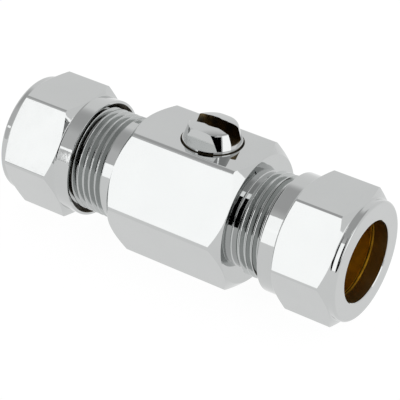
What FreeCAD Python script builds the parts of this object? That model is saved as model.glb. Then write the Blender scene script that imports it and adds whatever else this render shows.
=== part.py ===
import FreeCAD, Part
import math
import os

# Isolating valve for 15 mm pipe: a hexagonal body with a threaded spigot and a compression nut at
# each end, and a ball inside that a slotted spindle turns. Millimetres. The pipe axis runs along X,
# the spindle along Z, and the origin is on the body's bottom flat, under the spindle.

# Pipe, and the room that each bore leaves round it
pipe_d = 15.0
socket_gap = 0.10
olive_gap = 0.05
nut_bore_gap = 0.25

# Threaded spigots: the crest diameter is modelled, the thread's depth shapes the ends and the relief
spigot_wall = 2.4
thread_pitch = 1.337
thread_depth_ratio = 0.64
socket_depth = 13.0
mouth_flare = 1.0
left_collar_step = 0.1
left_collar_length = 3.5
right_relief_length = 1.1

# Hexagonal body: a cone takes off the corners at each end, down to a round end face
body_corner_length = 21.3
body_chamfer_angle = 42.0
body_edge_radius = 1.0
body_end_step = 0.1

# Ball, seats and retainer
chamber_step = 0.2
ball_gap = 0.2
waterway_d = 8.5
seat_bore_gap = 0.15
seat_outer_gap = 0.05
seat_ball_gap = 0.05
seat_contact_angle = 45.0
seat_length = 3.3
seat_lip = 2.0
shoulder_length = 6.5
retainer_length = 3.3
retainer_gap = 0.05
retainer_notch_width = 2.6
retainer_notch_depth = 1.2

# Spindle
spindle_ratio = 0.77
spindle_gap = 0.05
spindle_hole_length = 3.45
spindle_hole_chamfer = 0.25
collar_width = 1.1
collar_thickness = 1.0
collar_gap = 0.1
washer_thickness = 0.5
washer_gap = 0.05
o_ring_section = 1.5
o_ring_gap = 0.03
groove_width_ratio = 1.25
flange_height = 0.5
head_step = 0.15
head_height = 3.4
head_taper = 0.92
head_dome = 0.55
head_across_flats = 8.1
driver_slot_width = 3.5
driver_slot_floor = 1.1
tang_thickness = 3.0
tang_length = 8.4
tang_depth = 2.1
tang_gap = 0.1

# Compression nuts
nut_wall = 1.4
thread_gap = 0.10
nut_round_step = 0.1
nut_skirt_length = 3.1
nut_corner_length = 9.0
nut_chamfer_angle = 30.0
nut_edge_radius = 0.7
nut_neck_radius = 0.45
nut_boss_length = 1.5
nut_boss_edge_radius = 0.5
nut_countersink = 0.8
nut_end_wall = 2.95
nut_bore_chamfer = 0.15
left_nut_backoff = 2.9

# Olives
olive_wall = 1.3
olive_end_wall = 0.45
olive_length = 6.6
olive_taper_angle = 30.0
olive_seat_gap = 0.1

# Radii that follow from the pipe outwards
socket_r = pipe_d / 2 + socket_gap
thread_r = socket_r + spigot_wall
thread_depth = thread_depth_ratio * thread_pitch
root_r = thread_r - thread_depth
chamber_r = socket_r - chamber_step
ball_r = chamber_r - ball_gap
seat_sphere_r = ball_r + seat_ball_gap
seat_bore_r = waterway_d / 2 + seat_bore_gap
mouth_r = socket_r + mouth_flare

# Heights above the pipe axis, from the ball up to the body's top flat
spindle_r = spindle_ratio * ball_r
spindle_hole_r = spindle_r + spindle_gap
collar_r = spindle_r + collar_width
collar_bottom = chamber_r + collar_gap
collar_top = collar_bottom + collar_thickness
recess_roof = collar_top + washer_gap + washer_thickness
flat_height = recess_roof + spindle_hole_length
body_across_flats = 2 * flat_height
tang_bottom = collar_bottom - tang_depth

# Stations along the pipe axis, from the ball outwards
contact_cos = math.cos(math.radians(seat_contact_angle))
contact_sin = math.sin(math.radians(seat_contact_angle))
seat_back = (seat_sphere_r - seat_bore_r * contact_sin) / contact_cos + seat_lip
left_stop = seat_back + shoulder_length
right_stop = seat_back + retainer_length
left_end = left_stop + socket_depth
right_end = right_stop + socket_depth
taper_slope = math.tan(math.radians(olive_taper_angle))
taper_gap = olive_seat_gap / math.cos(math.radians(olive_taper_angle))
mouth_depth = mouth_flare / taper_slope
body_corner_r = body_across_flats / math.sqrt(3)
body_end_r = flat_height - body_end_step
body_chamfer_run = (body_corner_r - body_end_r) * math.tan(math.radians(body_chamfer_angle))
body_middle = (right_end - left_end) / 2

# Olive: its inner end sits in the mouth of the spigot, measured from the spigot's end
olive_bore_r = pipe_d / 2 + olive_gap
olive_end_r = olive_bore_r + olive_end_wall
olive_crown_r = olive_bore_r + olive_wall
olive_start = -(mouth_r - taper_gap - olive_end_r) / taper_slope

# Nut: its conical seat sits on the outer end of the olive
nut_bore_r = pipe_d / 2 + nut_bore_gap
nut_thread_r = thread_r + thread_gap
nut_flat_r = nut_thread_r + nut_wall
nut_across_flats = 2 * nut_flat_r
nut_corner_r = nut_across_flats / math.sqrt(3)
nut_round_r = nut_flat_r - nut_round_step
nut_chamfer_run = (nut_corner_r - nut_round_r) * math.tan(math.radians(nut_chamfer_angle))
nut_hex_start = nut_skirt_length + nut_chamfer_run
nut_hex_end = nut_hex_start + nut_corner_length
nut_length = nut_hex_end + nut_chamfer_run + nut_boss_length
nut_seat_end = nut_length - nut_end_wall
nut_seat_start = nut_seat_end - (nut_thread_r - nut_bore_r) / taper_slope
olive_end = olive_start + olive_length
nut_start = olive_end + (olive_end_r + taper_gap - nut_bore_r) / taper_slope - nut_seat_end

origin = FreeCAD.Vector(0, 0, 0)
x_axis = FreeCAD.Vector(1, 0, 0)
y_axis = FreeCAD.Vector(0, 1, 0)
z_axis = FreeCAD.Vector(0, 0, 1)


# Arc that rounds a corner: its start, its middle and its end
def corner_arc(before, corner, after, radius):
    back = (before - corner).normalize()
    ahead = (after - corner).normalize()
    half_angle = back.getAngle(ahead) / 2
    run = radius / math.tan(half_angle)
    inward = (back + ahead).normalize()
    middle = corner + inward * (radius / math.sin(half_angle) - radius)
    return corner + back * run, middle, corner + ahead * run


# Solid turned about the pipe axis from (x, radius) or (x, radius, rounding) points
def turned(points):
    corners = [FreeCAD.Vector(point[0], 0, point[1]) for point in points]
    edges = []
    spans = []
    for i, point in enumerate(points):
        start = end = corners[i]
        if len(point) > 2:
            after = corners[(i + 1) % len(corners)]
            start, middle, end = corner_arc(corners[i - 1], corners[i], after, point[2])
            edges.append(Part.Arc(start, middle, end).toShape())
        spans.append((start, end))
    for i in range(len(spans)):
        edges.append(Part.LineSegment(spans[i - 1][1], spans[i][0]).toShape())
    wire = Part.Wire(Part.__sortEdges__(edges))
    return Part.Face(wire).revolve(origin, x_axis, 360)


# The same, turned about the spindle's axis: the first value of each point is a height
def turned_upright(points):
    shape = turned(points)
    shape.rotate(origin, y_axis, -90)
    return shape


# Box centred on the spindle's axis, from one height up to another
def upright_box(length_x, length_y, bottom, top):
    corner = FreeCAD.Vector(-length_x / 2, -length_y / 2, bottom)
    return Part.makeBox(length_x, length_y, top - bottom, corner)


# Hexagonal bar along the pipe axis, with a flat on top and rounded long edges
def hexagon_bar(across_flats, edge_radius, start, end):
    corner_r = across_flats / math.sqrt(3)
    corners = []
    for k in range(8):
        angle = k * math.pi / 3
        corners.append(FreeCAD.Vector(start, corner_r * math.cos(angle), corner_r * math.sin(angle)))
    arcs = [corner_arc(*corners[k:k + 3], edge_radius) for k in range(6)]
    edges = [Part.Arc(*arc).toShape() for arc in arcs]
    for k in range(6):
        edges.append(Part.LineSegment(arcs[k - 1][2], arcs[k][0]).toShape())
    wire = Part.Wire(Part.__sortEdges__(edges))
    return Part.Face(wire).extrude(x_axis * (end - start))


# Body: hexagon with chamfered ends, a plain collar on the left spigot, a relief on the right one
def valve_body():
    left_corner = body_middle - body_corner_length / 2
    right_corner = body_middle + body_corner_length / 2
    left_face = left_corner - body_chamfer_run
    right_face = right_corner + body_chamfer_run
    left_collar_r = thread_r + left_collar_step
    left_collar_end = left_face - left_collar_length
    relief_end = right_face + right_relief_length
    shell = turned([
        (-left_end, 0),
        (-left_end, root_r),
        (-left_end + thread_depth, thread_r),
        (left_collar_end, thread_r),
        (left_collar_end, left_collar_r),
        (left_face, left_collar_r),
        (left_face, body_end_r),
        (left_corner, body_corner_r),
        (right_corner, body_corner_r),
        (right_face, body_end_r),
        (right_face, root_r),
        (relief_end, root_r),
        (relief_end + thread_depth, thread_r),
        (right_end - thread_depth, thread_r),
        (right_end, root_r),
        (right_end, 0),
    ])
    body = hexagon_bar(body_across_flats, body_edge_radius, -left_end, right_end).common(shell)
    return body.cut(pipe_bore()).cut(spindle_bore())


# Space inside the body along the pipe axis: sockets, olive mouths, left shoulder and ball chamber
def pipe_bore():
    return turned([
        (-left_end, 0),
        (-left_end, mouth_r),
        (-left_end + mouth_depth, socket_r),
        (-left_stop, socket_r),
        (-left_stop, seat_bore_r),
        (-seat_back, seat_bore_r),
        (-seat_back, chamber_r),
        (right_stop, chamber_r),
        (right_stop, socket_r),
        (right_end - mouth_depth, socket_r),
        (right_end, mouth_r),
        (right_end, 0),
    ])


# Space for the spindle: recess for its collar, hole through the top wall, small chamfer at the flat
def spindle_bore():
    recess_r = collar_r + collar_gap
    return turned_upright([
        (0, 0),
        (0, recess_r),
        (recess_roof, recess_r),
        (recess_roof, spindle_hole_r),
        (flat_height - spindle_hole_chamfer, spindle_hole_r),
        (flat_height, spindle_hole_r + spindle_hole_chamfer),
        (flat_height, 0),
    ])


# Ball: waterway along the pipe when open, and a slot across its top for the spindle's tang
def ball():
    waterway = Part.makeCylinder(waterway_d / 2, 2 * ball_r, x_axis * -ball_r, x_axis)
    slot_width = tang_thickness + 2 * tang_gap
    slot = upright_box(slot_width, 2 * ball_r, tang_bottom - tang_gap, ball_r)
    return Part.makeSphere(ball_r).cut(waterway).cut(slot)


# Seat ring on the right of the ball, with a conical face that the ball bears on
def ball_seat():
    front = seat_back - seat_length
    outer_r = chamber_r - seat_outer_gap
    face_r = (seat_sphere_r - front * contact_cos) / contact_sin
    return turned([
        (front, face_r),
        (front, outer_r),
        (seat_back, outer_r),
        (seat_back, seat_bore_r),
        (seat_back - seat_lip, seat_bore_r),
    ])


# Retainer: ring behind the right seat, with two notches for the tool that screws it in
def seat_retainer():
    outer_r = chamber_r - retainer_gap
    ring = turned([
        (seat_back, seat_bore_r),
        (seat_back, outer_r),
        (right_stop, outer_r),
        (right_stop, seat_bore_r),
    ])
    corner = FreeCAD.Vector(right_stop - retainer_notch_depth, -outer_r, -retainer_notch_width / 2)
    notches = Part.makeBox(retainer_notch_depth, 2 * outer_r, retainer_notch_width, corner)
    return ring.cut(notches)


# Spindle: inner collar, shaft with the seal's groove, slotted head above the flat, tang below
def spindle():
    groove_middle = recess_roof + spindle_hole_length / 2
    groove_half = groove_width_ratio * o_ring_section / 2
    flange_top = flat_height + flange_height
    shaft = turned_upright([
        (collar_bottom, 0),
        (collar_bottom, collar_r),
        (collar_top, collar_r),
        (collar_top, spindle_r),
        (groove_middle - groove_half, spindle_r),
        (groove_middle - groove_half, groove_floor_r()),
        (groove_middle + groove_half, groove_floor_r()),
        (groove_middle + groove_half, spindle_r),
        (flange_top, spindle_r),
        (flange_top, 0),
    ])
    tang = upright_box(tang_thickness, tang_length, tang_bottom, collar_bottom)
    slot_floor = flat_height + driver_slot_floor
    slot = upright_box(2 * collar_r, driver_slot_width, slot_floor, flat_height + head_height + head_dome)
    return shaft.fuse(tang).fuse(spindle_head(flange_top)).cut(slot).removeSplitter()


# Head of the spindle: a short cone with a domed top and a flat on either side of the slot
def spindle_head(bottom):
    base_r = spindle_r - head_step
    rim_r = base_r - head_taper
    rim_height = flat_height + head_height
    top = rim_height + head_dome
    slope = head_taper / (rim_height - bottom)
    cone = turned_upright([(bottom, 0), (bottom, base_r), (top, rim_r - slope * head_dome), (top, 0)])
    dome_r = (rim_r ** 2 + head_dome ** 2) / (2 * head_dome)
    flats = upright_box(2 * collar_r, head_across_flats, bottom, top)
    return cone.common(Part.makeSphere(dome_r, z_axis * (top - dome_r))).common(flats)


# Floor of the groove that holds the spindle's seal
def groove_floor_r():
    return spindle_hole_r - o_ring_section - 2 * o_ring_gap


# Seal squeezed between the spindle's groove and the hole in the body, with eight flats in section
def spindle_o_ring():
    middle = recess_roof + spindle_hole_length / 2
    ring_r = spindle_hole_r - o_ring_gap - o_ring_section / 2
    flat_count = 8
    corner_r = o_ring_section / 2 / math.cos(math.pi / flat_count)
    points = []
    for k in range(flat_count):
        angle = (2 * k + 1) * math.pi / flat_count
        points.append((middle + corner_r * math.sin(angle), ring_r + corner_r * math.cos(angle)))
    return turned_upright(points)


# Thin ring between the spindle's collar and the roof of its recess
def spindle_washer():
    bottom = recess_roof - washer_thickness
    return turned_upright([
        (bottom, spindle_hole_r),
        (bottom, collar_r),
        (recess_roof, collar_r),
        (recess_roof, spindle_hole_r),
    ])


# Compression nut with its open mouth at x = 0 and its outer end at x = nut_length
def compression_nut():
    shell = turned([
        (0, 0),
        (0, nut_round_r),
        (nut_skirt_length, nut_round_r),
        (nut_hex_start, nut_corner_r),
        (nut_hex_end, nut_corner_r),
        (nut_hex_end + nut_chamfer_run, nut_round_r, nut_neck_radius),
        (nut_length, nut_round_r, nut_boss_edge_radius),
        (nut_length, 0),
    ])
    bore = turned([
        (0, 0),
        (0, nut_thread_r + nut_countersink),
        (nut_countersink, nut_thread_r),
        (nut_seat_start, nut_thread_r),
        (nut_seat_end, nut_bore_r),
        (nut_length - nut_bore_chamfer, nut_bore_r),
        (nut_length, nut_bore_r + nut_bore_chamfer),
        (nut_length, 0),
    ])
    return hexagon_bar(nut_across_flats, nut_edge_radius, 0, nut_length).common(shell).cut(bore)


# Olive with its inner end at x = 0: a ring that tapers towards both ends
def olive():
    taper = (olive_crown_r - olive_end_r) / taper_slope
    return turned([
        (0, olive_bore_r),
        (0, olive_end_r),
        (taper, olive_crown_r),
        (olive_length - taper, olive_crown_r),
        (olive_length, olive_end_r),
        (olive_length, olive_bore_r),
    ])


# Piece drawn for the right end, moved out along the pipe axis
def on_right(shape, distance):
    shape.translate(x_axis * distance)
    return shape


# The same on the left end, turned about the spindle's axis
def on_left(shape, distance):
    shape = on_right(shape, distance)
    shape.rotate(origin, z_axis, 180)
    return shape


pieces = {
    "valve_body": valve_body(),
    "ball": ball(),
    "ball_seat_right": ball_seat(),
    "ball_seat_left": on_left(ball_seat(), 0),
    "seat_retainer": seat_retainer(),
    "spindle": spindle(),
    "spindle_o_ring": spindle_o_ring(),
    "spindle_washer": spindle_washer(),
    "compression_nut_right": on_right(compression_nut(), right_end + nut_start),
    "compression_nut_left": on_left(compression_nut(), left_end + nut_start + left_nut_backoff),
    "olive_right": on_right(olive(), right_end + olive_start),
    "olive_left": on_left(olive(), left_end + olive_start + left_nut_backoff),
}

os.makedirs("parts", exist_ok=True)
for name, piece in pieces.items():
    piece.translate(z_axis * flat_height)
    piece.exportStep("parts/" + name + ".step")
    print(name, "volume", round(piece.Volume, 1), "valid", piece.isValid())
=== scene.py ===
import math
import bpy
from mathutils import Matrix, Vector


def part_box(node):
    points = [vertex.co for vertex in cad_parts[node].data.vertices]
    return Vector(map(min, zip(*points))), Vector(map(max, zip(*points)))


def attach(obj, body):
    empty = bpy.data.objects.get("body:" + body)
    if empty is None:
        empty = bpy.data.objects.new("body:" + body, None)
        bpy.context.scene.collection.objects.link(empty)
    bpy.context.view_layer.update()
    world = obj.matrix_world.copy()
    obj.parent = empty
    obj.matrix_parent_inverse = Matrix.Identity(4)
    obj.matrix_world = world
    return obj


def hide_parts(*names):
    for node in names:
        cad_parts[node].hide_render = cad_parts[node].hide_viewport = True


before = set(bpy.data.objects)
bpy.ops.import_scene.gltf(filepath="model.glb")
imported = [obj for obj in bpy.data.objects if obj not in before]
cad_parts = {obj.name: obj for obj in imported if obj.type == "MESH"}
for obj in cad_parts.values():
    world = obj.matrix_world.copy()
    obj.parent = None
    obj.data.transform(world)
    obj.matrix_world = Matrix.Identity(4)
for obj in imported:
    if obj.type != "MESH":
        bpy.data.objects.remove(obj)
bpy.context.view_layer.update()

mm = 0.001
scene = bpy.context.scene
scene.view_settings.view_transform = "Standard"

bodyLow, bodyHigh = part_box("valve_body")
nutLow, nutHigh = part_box("compression_nut_right")
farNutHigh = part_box("compression_nut_left")[1]
axisHeight = (nutLow.z + nutHigh.z) / 2  # pipe axis above the floor
pipeAxis = Vector((0, 0, axisHeight))
print("frame loaded, pipe axis at", round(axisHeight / mm, 3), "mm")

# in millimetres, like every size in the dictionaries below
holdLine = 0.02  # a line this far beside each rounding keeps the next face's shading straight
mergeDistance = 0.0005  # vertices closer than this become one
spare = 1.0  # bars and cutters reach this far past the piece


def pickNone():
    if bpy.context.object and bpy.context.object.mode != "OBJECT":
        bpy.ops.object.mode_set(mode="OBJECT")
    bpy.ops.object.select_all(action="DESELECT")


def pickOnly(ob):
    pickNone()
    ob.select_set(True)
    bpy.context.view_layer.objects.active = ob


def editAll(ob):
    pickOnly(ob)
    bpy.ops.object.mode_set(mode="EDIT")
    bpy.ops.mesh.select_all(action="SELECT")


def named(name):
    ob = bpy.context.object
    ob.name = name
    ob.data.name = name
    return ob


def coat(ob, *finishes):
    for finish in finishes:
        ob.data.materials.append(finish)


def roundCorners(corners, arcSteps=5):  # corners are (along, radius) or (along, radius, rounding)
    line = []
    for i, corner in enumerate(corners):
        here = Vector(corner[:2])
        if len(corner) < 3:
            line.append(here)
            continue
        back = (Vector(corners[i - 1][:2]) - here).normalized()
        ahead = (Vector(corners[i + 1][:2]) - here).normalized()
        half = back.angle(ahead) / 2
        reach = corner[2] / math.tan(half)
        inward = (back + ahead).normalized()
        centre = here + inward * (corner[2] / math.sin(half))
        first = (here + back * reach - centre).normalized()
        last = (here + ahead * reach - centre).normalized()
        line.append(here + back * (reach + holdLine))
        for k in range(arcSteps + 1):
            line.append(centre + first.slerp(last, k / arcSteps) * corner[2])
        line.append(here + ahead * (reach + holdLine))
    return line


def drawOutline(name, places):  # one vertex, extruded from place to place
    pickNone()
    bpy.ops.mesh.primitive_plane_add(size=mm, location=(0, 0, 0))
    ob = named(name)
    bpy.ops.object.mode_set(mode="EDIT")
    bpy.ops.mesh.select_all(action="SELECT")
    bpy.ops.mesh.merge(type="CENTER")
    bpy.ops.transform.translate(value=places[0])
    for here, there in zip(places, places[1:]):
        bpy.ops.mesh.extrude_vertices_move(TRANSFORM_OT_translate={"value": there - here})
    bpy.ops.mesh.select_all(action="SELECT")
    return ob


def closeUp(ob):  # doubles merged, faces turned outwards
    editAll(ob)
    bpy.ops.mesh.remove_doubles(threshold=mergeDistance * mm)
    bpy.ops.mesh.normals_make_consistent(inside=False)
    bpy.ops.object.mode_set(mode="OBJECT")


def spinOutline(name, places, steps, centre, axis):
    ob = drawOutline(name, places)
    bpy.ops.mesh.spin(steps=steps, angle=math.tau, center=centre, axis=axis)
    closeUp(ob)
    return ob


def turnAlongPipe(name, corners, steps=192):
    places = [pipeAxis + Vector((p.x, 0, p.y)) * mm for p in roundCorners(corners)]
    return spinOutline(name, places, steps, pipeAxis, (1, 0, 0))


def turnUpright(name, corners, steps=128):  # corners are (height, radius)
    places = [Vector((p.y, 0, p.x)) * mm for p in roundCorners(corners)]
    return spinOutline(name, places, steps, (0, 0, 0), (0, 0, 1))


def pickLongEdges(ob):  # the edges that run along the pipe
    pickOnly(ob)
    bpy.ops.object.mode_set(mode="EDIT")
    bpy.ops.mesh.select_mode(type="EDGE")
    bpy.ops.mesh.select_all(action="DESELECT")
    bpy.ops.object.mode_set(mode="OBJECT")
    for edge in ob.data.edges:
        ends = [ob.data.vertices[i].co.x for i in edge.vertices]
        edge.select = abs(ends[0] - ends[1]) > mm
    bpy.ops.object.mode_set(mode="EDIT")


def hexBar(name, acrossFlats, start, end, edgeRound):
    pickNone()
    bpy.ops.mesh.primitive_cylinder_add(
        vertices=6, radius=acrossFlats / math.sqrt(3) * mm, depth=(end - start) * mm,
        location=pipeAxis + Vector(((start + end) / 2 * mm, 0, 0)), rotation=(0, math.pi / 2, 0))
    ob = named(name)
    bpy.ops.object.transform_apply(location=True, rotation=True, scale=True)
    pickLongEdges(ob)
    bevelWidth = edgeRound * math.tan(math.pi / 6)
    bpy.ops.mesh.bevel(offset=bevelWidth * mm, segments=6, affect="EDGES")
    bpy.ops.mesh.select_mode(type="VERT")
    closeUp(ob)
    return ob


def boxPiece(name, size, centre):
    pickNone()
    bpy.ops.mesh.primitive_cube_add(size=mm, location=Vector(centre) * mm, scale=size)
    bpy.ops.object.transform_apply(location=True, rotation=True, scale=True)
    return named(name)


def combine(ob, tool, operation):  # the tool's finish stays on the faces that it makes
    pickOnly(ob)
    bpy.ops.object.modifier_add(type="BOOLEAN")
    cut = ob.modifiers[-1]
    cut.operation = operation
    cut.solver = "EXACT"
    cut.material_mode = "TRANSFER"
    cut.object = tool
    bpy.ops.object.modifier_apply(modifier=cut.name)
    bpy.data.objects.remove(tool, do_unlink=True)


def finishPiece(ob, smoothAngle=28, weight=100):
    closeUp(ob)
    pickOnly(ob)
    bpy.ops.object.shade_smooth_by_angle(angle=math.radians(smoothAngle))
    bpy.ops.object.modifier_add(type="WEIGHTED_NORMAL")
    ob.modifiers[-1].keep_sharp = True
    ob.modifiers[-1].weight = weight
    bpy.ops.object.modifier_apply(modifier=ob.modifiers[-1].name)
    print("made", ob.name, "with", len(ob.data.polygons), "faces")


def addNode(tree, kind, links=(), **values):  # From_Min sets the input called From Min
    node = tree.nodes.new(kind)
    for key, value in values.items():
        if hasattr(node, key):
            setattr(node, key, value)
        else:
            node.inputs[key.replace("_", " ")].default_value = value
    for source, socket in links:
        tree.links.new(source, node.inputs[socket])
    return node


def startFinish(name):
    finish = bpy.data.materials.new(name)
    finish.use_nodes = True
    tree = finish.node_tree
    place = addNode(tree, "ShaderNodeTexCoord").outputs["Object"]
    return finish, tree, tree.nodes["Principled BSDF"], place


def startLight(name):  # a finish without its usual nodes
    paint = bpy.data.materials.new(name)
    paint.use_nodes = True
    paint.node_tree.nodes.clear()
    return paint, paint.node_tree


def addNoise(tree, place, scale, detail):
    noise = addNode(tree, "ShaderNodeTexNoise", [(place, "Vector")], Scale=scale, Detail=detail)
    return noise.outputs["Fac"]


def addTint(tree, shader, amount, dark, light, start=0.0, end=1.0):
    tint = addNode(tree, "ShaderNodeValToRGB", [(amount, "Fac")])
    low, high = tint.color_ramp.elements
    low.position, high.position = start, end
    low.color, high.color = (*dark, 1), (*light, 1)
    tree.links.new(tint.outputs["Color"], shader.inputs["Base Color"])


def addGloss(tree, shader, amount, low, high, start=0.0, end=1.0):
    gloss = addNode(tree, "ShaderNodeMapRange", [(amount, "Value")],
                    From_Min=start, From_Max=end, To_Min=low, To_Max=high)
    tree.links.new(gloss.outputs["Result"], shader.inputs["Roughness"])


def addBump(tree, height, depth, below=()):
    bump = addNode(tree, "ShaderNodeBump", [(height, "Height"), *below],
                   Strength=1.0, Distance=depth * mm)
    return bump.outputs["Normal"]


chromeLook = {
    "colour": (0.524, 0.534, 0.532), "cloud": 0.015,
    "roughness": (0.025, 0.06), "ripple": 0.004, "grain": 0.0015,
}
grooveShadeLook = {  # thinner, rougher plating in the thread's grooves, and a darker colour there as painted shade
    "colour": (0.46, 0.475, 0.47), "cloud": 0.03,
    "roughness": (0.1, 0.2), "ripple": 0.004, "grain": 0.003,
}
chromeScales = {"cloud": 140.0, "smear": 420.0, "grain": 2600.0, "smearRange": (0.3, 0.7)}


def makeChrome(name, look):
    finish, tree, shader, place = startFinish(name)
    cloud = addNoise(tree, place, chromeScales["cloud"], 3.0)
    dark = [c - look["cloud"] for c in look["colour"]]
    light = [c + look["cloud"] for c in look["colour"]]
    addTint(tree, shader, cloud, dark, light)
    smear = addNoise(tree, place, chromeScales["smear"], 4.0)
    addGloss(tree, shader, smear, *look["roughness"], *chromeScales["smearRange"])
    fine = addBump(tree, addNoise(tree, place, chromeScales["grain"], 2.0), look["grain"])
    ripple = addBump(tree, cloud, look["ripple"], [(fine, "Normal")])
    tree.links.new(ripple, shader.inputs["Normal"])
    shader.inputs["Metallic"].default_value = 1.0
    return finish


brassLook = {
    "colour": (0.84, 0.56, 0.075), "dull": (0.62, 0.41, 0.055),
    "roughness": (0.22, 0.42), "toolMarks": 0.006,
}
boreLook = {  # the nuts' pipe bores, a darker and browner brass than the body's bore
    "colour": (0.46, 0.36, 0.17), "dull": (0.38, 0.29, 0.14),
    "roughness": (0.22, 0.42), "toolMarks": 0.006,
}
paintedShadeLook = {  # the nuts' threads and countersinks and the spindle's hole, darkened to near black as painted shade
    "colour": (0.09, 0.07, 0.04), "dull": (0.03, 0.026, 0.018),
    "roughness": (0.3, 0.5), "toolMarks": 0.01,
}
slotShadeLook = {  # thin plating over brass shows its brass tint, darkened in the slot as painted shade
    "colour": (0.2, 0.14, 0.065), "dull": (0.035, 0.038, 0.034),
    "roughness": (0.2, 0.4), "toolMarks": 0.008,
}
brassScales = {"stain": 500.0, "stainRange": (0.3, 0.65), "toolMarks": (9000.0, 40.0, 40.0)}


def makeBrass(name, look):
    finish, tree, shader, place = startFinish(name)
    stain = addNoise(tree, place, brassScales["stain"], 5.0)
    addTint(tree, shader, stain, look["dull"], look["colour"], *brassScales["stainRange"])
    addGloss(tree, shader, stain, *reversed(look["roughness"]))
    stretch = addNode(tree, "ShaderNodeMapping", [(place, "Vector")],
                      Scale=brassScales["toolMarks"])
    marks = addNoise(tree, stretch.outputs["Vector"], 1.0, 2.0)
    tree.links.new(addBump(tree, marks, look["toolMarks"]), shader.inputs["Normal"])
    shader.inputs["Metallic"].default_value = 1.0
    return finish


softLooks = {
    "whiteSeat": {"dark": (0.72, 0.72, 0.70), "light": (0.84, 0.84, 0.82),
                  "roughness": 0.42, "grain": 0.01},
    "blackRubber": {"dark": (0.012, 0.012, 0.013), "light": (0.035, 0.034, 0.033),
                    "roughness": 0.55, "grain": 0.015},
}
softScale = 900.0


def makeSoft(name):
    look = softLooks[name]
    finish, tree, shader, place = startFinish(name)
    cloud = addNoise(tree, place, softScale, 5.0)
    addTint(tree, shader, cloud, look["dark"], look["light"])
    tree.links.new(addBump(tree, cloud, look["grain"]), shader.inputs["Normal"])
    shader.inputs["Roughness"].default_value = look["roughness"]
    return finish


chromePlate = makeChrome("chromePlate", chromeLook)
# the thread's grooves: rougher plating, and a darker colour as painted shade
grooveShadePlate = makeChrome("grooveShadePlate", grooveShadeLook)
bareBrass = makeBrass("bareBrass", brassLook)
boreBrass = makeBrass("boreBrass", boreLook)
# painted shade: a near-black brass for the nuts' threads and the spindle's hole
paintedShadeBrass = makeBrass("paintedShadeBrass", paintedShadeLook)
# the slot: brass tint of thin plating, darkened as painted shade
shadedSlot = makeBrass("shadedSlot", slotShadeLook)
whiteSeat = makeSoft("whiteSeat")
blackRubber = makeSoft("blackRubber")
print("finishes ready")


threadForm = {
    "pitch": 1.337, "crest": 10.0, "root": 9.144, "brightCrest": 0.06, "stepsPerTurn": 96,
    # along and up: from the groove's middle and the root, from its middle and the crest,
    # and from the ridge's middle and the crest
    "rootCurve": [(0.1, 0.0), (0.18, 0.04)],
    "flankEnd": (0.52, -0.14),
    "crestCurve": [(0.0935, -0.05), (0.0585, -0.01), (0.0385, 0.25)],
}


def threadSection(form):
    half = form["pitch"] / 2
    section = [(along, form["root"] + rise) for along, rise in form["rootCurve"]]
    section.append((form["flankEnd"][0], form["crest"] + form["flankEnd"][1]))
    section += [(half - along, form["crest"] + rise) for along, rise in form["crestCurve"]]
    return [(-along, radius) for along, radius in reversed(section)] + section


def threadCutter(name, start, end):
    form = threadForm
    places = [pipeAxis + Vector((start + along, 0, radius)) * mm
              for along, radius in threadSection(form)]
    ob = drawOutline(name, places)
    bpy.ops.mesh.edge_face_add()  # close the section, then keep only its rim
    bpy.ops.mesh.delete(type="ONLY_FACE")
    pickOnly(ob)
    scene.cursor.location = pipeAxis
    bpy.ops.object.origin_set(type="ORIGIN_CURSOR")
    bpy.ops.object.modifier_add(type="SCREW")
    sweep = ob.modifiers[-1]
    sweep.axis = "X"
    sweep.angle = math.tau
    sweep.screw_offset = form["pitch"] * mm
    sweep.iterations = math.ceil((end - start) / form["pitch"])
    sweep.steps = sweep.render_steps = form["stepsPerTurn"]
    sweep.use_merge_vertices = False
    bpy.ops.object.modifier_apply(modifier=sweep.name)
    bpy.ops.object.transform_apply(location=True, rotation=True, scale=True)
    scene.cursor.location = (0, 0, 0)
    bpy.ops.object.mode_set(mode="EDIT")
    bpy.ops.mesh.select_all(action="DESELECT")
    bpy.ops.mesh.select_non_manifold()
    bpy.ops.mesh.fill_holes(sides=0)
    closeUp(ob)
    coat(ob, chromePlate, grooveShadePlate)
    for face in ob.data.polygons:  # plain chrome on the crests, rougher plating and painted shade in the grooves
        radius = math.hypot(face.center.y, face.center.z - axisHeight) / mm
        face.material_index = int(radius < form["crest"] - form["brightCrest"])
    return ob


bodyForm = {
    "acrossFlats": 25.0, "edgeRound": 1.0, "cornerLength": 21.3, "chamferAngle": 42.0,
    "endStep": 0.1, "endRound": 0.3,
    "collarRadius": 10.1, "collarLength": 3.5, "collarRound": 0.04, "collarFillet": 0.3,
    "reliefLength": 1.1, "reliefFillet": 0.25,
    "threadGap": (0.55, 0.1),  # left thread to its collar, relief to right thread
    "threadPast": (1.5, 2.0),  # past the body's left and right ends
    "socketRadius": 7.6, "mouthRadius": 8.6, "mouthAngle": 30.0,
    "chamberRadius": 7.4, "seatBore": 4.4, "seatBack": 7.853,
    "leftStop": 14.353, "rightStop": 11.153,
    "recessRadius": 6.744, "recessRoof": 21.55, "spindleHole": 5.594, "holeChamfer": 0.25,
}


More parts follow.
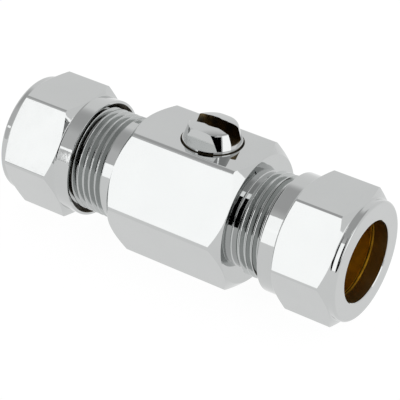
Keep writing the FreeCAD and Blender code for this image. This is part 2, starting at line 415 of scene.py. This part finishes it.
def bodyShell(form, left, right):
    middle = (left + right) / 2
    crest, root = threadForm["crest"], threadForm["root"]
    depth = crest - root
    corner = form["acrossFlats"] / math.sqrt(3)
    endRadius = form["acrossFlats"] / 2 - form["endStep"]
    halfCorner = form["cornerLength"] / 2
    face = halfCorner + (corner - endRadius) * math.tan(math.radians(form["chamferAngle"]))
    collarEnd = middle - face - form["collarLength"]
    reliefEnd = middle + face + form["reliefLength"]
    shell = turnAlongPipe("bodyShell", [
        (left, 0), (left, root), (left + depth, crest), (collarEnd, crest),
        (collarEnd, form["collarRadius"], form["collarRound"]),
        (middle - face, form["collarRadius"], form["collarFillet"]),
        (middle - face, endRadius, form["endRound"]),
        (middle - halfCorner, corner), (middle + halfCorner, corner),
        (middle + face, endRadius, form["endRound"]),
        (middle + face, root, form["reliefFillet"]), (reliefEnd, root, form["reliefFillet"]),
        (reliefEnd + depth, crest), (right - depth, crest), (right, root), (right, 0)])
    coat(shell, chromePlate)
    return shell, collarEnd, reliefEnd


def bodyBore(form, left, right):
    slope = math.tan(math.radians(form["mouthAngle"]))
    socket, chamber, seat = form["socketRadius"], form["chamberRadius"], form["seatBore"]
    mouthRun = (form["mouthRadius"] - socket) / slope
    flared = form["mouthRadius"] + spare * slope
    bore = turnAlongPipe("bodyBore", [
        (left - spare, 0), (left - spare, flared), (left + mouthRun, socket),
        (-form["leftStop"], socket), (-form["leftStop"], seat),
        (-form["seatBack"], seat), (-form["seatBack"], chamber),
        (form["rightStop"], chamber), (form["rightStop"], socket),
        (right - mouthRun, socket), (right + spare, flared), (right + spare, 0)], steps=96)
    coat(bore, bareBrass)
    return bore


def spindleBore(form):
    flat = form["acrossFlats"]
    axis, roof, hole = axisHeight / mm, form["recessRoof"], form["spindleHole"]
    bore = turnUpright("spindleBore", [
        (axis, 0), (axis, form["recessRadius"]), (roof, form["recessRadius"]),
        (roof, hole), (flat - form["holeChamfer"], hole),
        (flat + spare, hole + form["holeChamfer"] + spare), (flat + spare, 0)])
    # the hole's wall gets the near-black brass of painted shade
    coat(bore, paintedShadeBrass)
    return bore


def makeBody():
    form = bodyForm
    left, right = bodyLow.x / mm, bodyHigh.x / mm
    body = hexBar("hexBody", form["acrossFlats"], left - spare, right + spare, form["edgeRound"])
    coat(body, chromePlate)
    shell, collarEnd, reliefEnd = bodyShell(form, left, right)
    combine(body, shell, "INTERSECT")
    leftGap, rightGap = form["threadGap"]
    leftPast, rightPast = form["threadPast"]
    rightCutter = threadCutter("rightThread", reliefEnd + rightGap, right + rightPast)
    combine(body, rightCutter, "DIFFERENCE")
    leftCutter = threadCutter("leftThread", left - leftPast, collarEnd - leftGap)
    combine(body, leftCutter, "DIFFERENCE")
    combine(body, bodyBore(form, left, right), "DIFFERENCE")
    combine(body, spindleBore(form), "DIFFERENCE")
    finishPiece(body)
    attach(body, "valve")
    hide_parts("valve_body")


makeBody()


nutForm = {
    "acrossFlats": 23.0, "edgeRound": 0.7, "round": 11.4, "skirt": 3.1,
    "cornerLength": 9.0, "chamferAngle": 30.0,
    "neckFillet": 0.45, "skirtFillet": 0.3, "bossRound": 0.5, "mouthRound": 0.15,
    "threadBore": 10.1, "countersink": 0.8, "pipeBore": 7.75,
    "seatAngle": 30.0, "endWall": 2.95, "rim": 0.15,
}


def nutBore(form, length):
    wide, narrow = form["threadBore"], form["pipeBore"]
    seatEnd = length - form["endWall"]
    seatStart = seatEnd - (wide - narrow) / math.tan(math.radians(form["seatAngle"]))
    rimStart = length - form["rim"]
    bore = turnAlongPipe("nutBore", [
        (-spare, 0), (-spare, wide + form["countersink"] + spare), (form["countersink"], wide),
        (seatStart, wide), (seatEnd, narrow), (rimStart, narrow),
        (length + spare, narrow + form["rim"] + spare), (length + spare, 0)])
    coat(bore, paintedShadeBrass, boreBrass, chromePlate)
    for face in bore.data.polygons:  # painted shade on the thread and countersink, brass pipe bore, plated rim
        along = face.center.x / mm
        face.material_index = int(along > seatStart) + int(along > rimStart)
    return bore


def makeNut():
    form = nutForm
    length = (nutHigh.x - nutLow.x) / mm
    corner = form["acrossFlats"] / math.sqrt(3)
    run = (corner - form["round"]) * math.tan(math.radians(form["chamferAngle"]))
    hexStart = form["skirt"] + run
    hexEnd = hexStart + form["cornerLength"]
    nut = hexBar("nearNut", form["acrossFlats"], -spare, length + spare, form["edgeRound"])
    coat(nut, chromePlate)
    shell = turnAlongPipe("nutShell", [
        (0, 0), (0, form["round"], form["mouthRound"]),
        (form["skirt"], form["round"], form["skirtFillet"]),
        (hexStart, corner), (hexEnd, corner),
        (hexEnd + run, form["round"], form["neckFillet"]),
        (length, form["round"], form["bossRound"]), (length, 0)])
    coat(shell, chromePlate)
    combine(nut, shell, "INTERSECT")
    combine(nut, nutBore(form, length), "DIFFERENCE")
    return nut


def placeNut(nut, body, node, turn, along):
    pickOnly(nut)
    nut.rotation_euler = (0, 0, turn)
    nut.location = (along, 0, 0)
    bpy.ops.object.transform_apply(location=True, rotation=True, scale=True)
    finishPiece(nut)
    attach(nut, body)
    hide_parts(node)


nearNut = makeNut()
pickOnly(nearNut)
bpy.ops.object.duplicate(linked=False)
farNut = named("farNut")
placeNut(nearNut, "right_nut", "compression_nut_right", 0, nutLow.x)
placeNut(farNut, "left_nut", "compression_nut_left", math.pi, farNutHigh.x)


spindleForm = {
    "flange": 5.544, "flangeHeight": 0.5, "flangeRound": 0.06, "headStep": 0.15, "headFillet": 0.05,
    "headTaper": 0.92, "headHeight": 3.4, "rimRound": 0.5,
    "dome": 0.55, "domeSteps": (0.8, 0.55, 0.3),  # rings at these shares of the rim's radius
    "acrossFlats": 8.1, "cutLength": 16.0, "flatCut": 4.0,
    "slotWidth": 3.5, "slotFloor": 1.1, "slotCuts": 15, "slotWear": 0.3, "slotSeed": 3,
    "collar": 6.644, "collarBottom": 20.0, "collarTop": 21.0,
    "grooveFloor": 4.034, "grooveMiddle": 23.275, "grooveHalf": 0.9375,
    "tang": (3.0, 8.4, 2.1), "tangSunk": 0.5,
}


def roughen(ob, cuts, offset, seed):  # uneven walls, the same each run
    pickLongEdges(ob)
    bpy.ops.mesh.subdivide(number_cuts=cuts)
    bpy.ops.mesh.select_mode(type="VERT")
    bpy.ops.mesh.select_all(action="SELECT")
    bpy.ops.transform.vertex_random(offset=offset * mm, seed=seed)
    bpy.ops.object.mode_set(mode="OBJECT")


def spindleShaft(form, flangeTop, rimHeight, top):
    flange, collar = form["flange"], form["collar"]
    base = flange - form["headStep"]
    rim = base - form["headTaper"]
    domeRadius = (rim ** 2 + form["dome"] ** 2) / (2 * form["dome"])
    domeCentre = top - domeRadius
    rings = [share * rim for share in form["domeSteps"]]
    dome = [(domeCentre + math.sqrt(domeRadius ** 2 - r ** 2), r) for r in rings]
    low = form["grooveMiddle"] - form["grooveHalf"]
    high = form["grooveMiddle"] + form["grooveHalf"]
    shaft = turnUpright("slottedSpindle", [
        (form["collarBottom"], 0), (form["collarBottom"], collar), (form["collarTop"], collar),
        (form["collarTop"], flange), (low, flange), (low, form["grooveFloor"]),
        (high, form["grooveFloor"]), (high, flange), (flangeTop, flange, form["flangeRound"]),
        (flangeTop, base, form["headFillet"]), (rimHeight, rim, form["rimRound"]), *dome, (top, 0)])
    coat(shaft, chromePlate)
    return shaft


def makeSpindle():
    form = spindleForm
    flat = 2 * axisHeight / mm
    flangeTop = flat + form["flangeHeight"]
    rimHeight = flat + form["headHeight"]
    top = rimHeight + form["dome"]
    spindle = spindleShaft(form, flangeTop, rimHeight, top)
    length, width, depth = form["tang"]
    sunk = form["tangSunk"]  # the tang starts this far inside the collar
    tang = boxPiece("tang", (length, width, depth + sunk),
                    (0, 0, form["collarBottom"] - depth / 2 + sunk / 2))
    coat(tang, chromePlate)
    combine(spindle, tang, "UNION")
    slotTop = top + spare
    slotFloor = flat + form["slotFloor"]
    slot = boxPiece("driverSlot", (form["cutLength"], form["slotWidth"], slotTop - slotFloor),
                    (0, 0, (slotTop + slotFloor) / 2))
    # the slot's faces get the darkened brass of painted shade
    coat(slot, shadedSlot)
    roughen(slot, form["slotCuts"], form["slotWear"], form["slotSeed"])
    combine(spindle, slot, "DIFFERENCE")
    for side in (-1, 1):  # a flat on either side of the slot
        away = side * (form["acrossFlats"] / 2 + form["flatCut"] / 2)
        flank = boxPiece("headFlat", (form["cutLength"], form["flatCut"], slotTop - flangeTop),
                         (0, away, (slotTop + flangeTop) / 2))
        coat(flank, chromePlate)
        combine(spindle, flank, "DIFFERENCE")
    finishPiece(spindle)
    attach(spindle, "spindle")
    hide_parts("spindle")


makeSpindle()


# the pieces inside keep their own shape and get their finish
innerFinish = {
    "ball": chromePlate, "seat_retainer": bareBrass,
    "ball_seat_left": whiteSeat, "ball_seat_right": whiteSeat,
    "spindle_washer": whiteSeat, "spindle_o_ring": blackRubber,
    "olive_left": bareBrass, "olive_right": bareBrass,
}
for node, finish in innerFinish.items():
    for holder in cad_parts[node].material_slots:
        holder.material = finish
print("inner pieces finished")


studio = {
    "floorColour": 0.08, "floorGlow": 0.96, "floorSize": 8000.0, "floorDrop": 0.05,
    "front": 0.73, "back": 0.97, "frontToBack": (-0.35, 0.2),
    "overhead": 0.55, "overheadFade": (45, 59),  # degrees above the floor
    "wallDistance": 800.0,
    "cards": [  # name, bearing in degrees, level, corners in millimetres across and up its wall
        ("flatPanel", 0, 1.74, [
            (-614, 350), (-538, 350), (-538, 335), (-256, 335),
            (-278, 435), (-538, 435), (-538, 420), (-614, 420)]),
        ("mainPanel", 0, 1.7, [
            (-492, 0), (-242, 0), (-250, 170), (-256, 335), (-527, 335)]),
        ("upperPanel", 0, 1.7, [
            (-440, 435), (-278, 435), (-322, 520), (-452, 970), (-590, 970)]),
        ("headPanel", 0, 1.45, [
            (-508, 525), (-466, 525), (-478, 568), (-508, 568)]),
        ("darkWall", 0, 0.0, [
            (-238, 0), (330, 0), (330, 800), (60, 900), (-200, 1500),
            (-610, 1500), (-448, 970), (-318, 520), (-252, 335)]),
        ("darkSide", 45, 0.0, [
            (-330, 0), (330, 0), (330, 170), (-60, 180), (-110, 640),
            (-30, 780), (200, 1200), (100, 1330), (-100, 1050), (-330, 1000)]),
        ("reliefPanel", 45, 2.2, [
            (205, 1205), (500, 1620), (590, 1730), (450, 1900), (290, 1650), (100, 1340)]),
        ("sidePanel", 88.5, 1.7, [
            (-235, 0), (235, 0), (235, 525), (-235, 525)]),
    ],
}


def lightMask(tree):  # camera, mirror and clear rays all see the white floor
    path = addNode(tree, "ShaderNodeLightPath").outputs
    mask = addNode(tree, "ShaderNodeMath", operation="MAXIMUM",
                   links=[(path["Is Camera Ray"], 0), (path["Is Glossy Ray"], 1)])
    return addNode(tree, "ShaderNodeMath", operation="MAXIMUM",
                   links=[(mask.outputs[0], 0), (path["Is Transmission Ray"], 1)])


def makeFloor():
    pickNone()
    bpy.ops.mesh.primitive_plane_add(
        size=studio["floorSize"] * mm, location=(0, 0, -studio["floorDrop"] * mm))
    floor = named("floor")
    bpy.ops.object.transform_apply(location=True, rotation=True, scale=True)
    paint, tree = startLight("whiteFloor")
    matt = addNode(tree, "ShaderNodeBsdfDiffuse", Color=(*[studio["floorColour"]] * 3, 1))
    level = addNode(tree, "ShaderNodeMath", [(lightMask(tree).outputs[0], 0)], operation="MULTIPLY")
    level.inputs[1].default_value = studio["floorGlow"]
    glow = addNode(tree, "ShaderNodeEmission", [(level.outputs[0], "Strength")])
    both = addNode(tree, "ShaderNodeAddShader", [(matt.outputs[0], 0), (glow.outputs[0], 1)])
    addNode(tree, "ShaderNodeOutputMaterial", [(both.outputs[0], "Surface")])
    coat(floor, paint)


def makeSky():  # darker in front of the valve than behind it, and darker overhead
    world = bpy.data.worlds.new("studioSky")
    scene.world = world
    world.use_nodes = True
    tree = world.node_tree
    tree.nodes.clear()
    place = addNode(tree, "ShaderNodeTexCoord").outputs["Generated"]
    parts = addNode(tree, "ShaderNodeSeparateXYZ", [(place, "Vector")]).outputs
    start, end = studio["frontToBack"]
    around = addNode(tree, "ShaderNodeMapRange", [(parts["Y"], "Value")],
                     interpolation_type="SMOOTHSTEP", From_Min=start, From_Max=end,
                     To_Min=studio["front"], To_Max=studio["back"])
    low, high = (math.sin(math.radians(angle)) for angle in studio["overheadFade"])
    fade = addNode(tree, "ShaderNodeMapRange",
                   [(parts["Z"], "Value"), (around.outputs["Result"], "To Min")],
                   interpolation_type="SMOOTHSTEP", From_Min=low, From_Max=high,
                   To_Max=studio["overhead"])
    sky = addNode(tree, "ShaderNodeBackground", [(fade.outputs["Result"], "Strength")],
                  Color=(1, 1, 1, 1))
    addNode(tree, "ShaderNodeOutputWorld", [(sky.outputs[0], "Surface")])


def makeCard(name, bearing, level, corners):
    turn = Matrix.Rotation(math.radians(bearing), 4, "Z")
    places = [turn @ Vector((across, -studio["wallDistance"], up)) * mm for across, up in corners]
    card = drawOutline(name, places)
    bpy.ops.mesh.edge_face_add()
    bpy.ops.object.mode_set(mode="OBJECT")
    paint, tree = startLight(name)
    glow = addNode(tree, "ShaderNodeEmission", Strength=level)
    addNode(tree, "ShaderNodeOutputMaterial", [(glow.outputs[0], "Surface")])
    coat(card, paint)
    card.visible_camera = False


makeFloor()
makeSky()
for card in studio["cards"]:
    makeCard(*card)
print("studio ready with", len(studio["cards"]), "cards")


view = {
    "bearing": 31.607, "height": 30.886, "tilt": 4.088,  # degrees
    "distance": 346.125, "aside": -0.133, "above": -0.622,
    "lens": 169.303, "sensor": 36, "nearest": 10.0,
}


def placeCamera():
    a, e, t = (math.radians(view[key]) for key in ("bearing", "height", "tilt"))
    back = Vector((math.sin(a) * math.cos(e), -math.cos(a) * math.cos(e), math.sin(e)))
    right = Vector((math.cos(a), math.sin(a), 0))
    up = back.cross(right)
    away = back * view["distance"] + right * view["aside"] + up * view["above"]
    place = pipeAxis + away * mm
    place.x += (bodyLow.x + bodyHigh.x) / 2
    tiltedRight = right * math.cos(t) + up * math.sin(t)
    tiltedUp = up * math.cos(t) - right * math.sin(t)
    turn = Matrix((tiltedRight, tiltedUp, back)).transposed()
    pickNone()
    bpy.ops.object.camera_add(location=place, rotation=turn.to_euler())
    camera = named("photoCamera")
    camera.data.lens = view["lens"]
    camera.data.sensor_width = view["sensor"]
    camera.data.clip_start = view["nearest"] * mm
    scene.camera = camera


placeCamera()
pickNone()
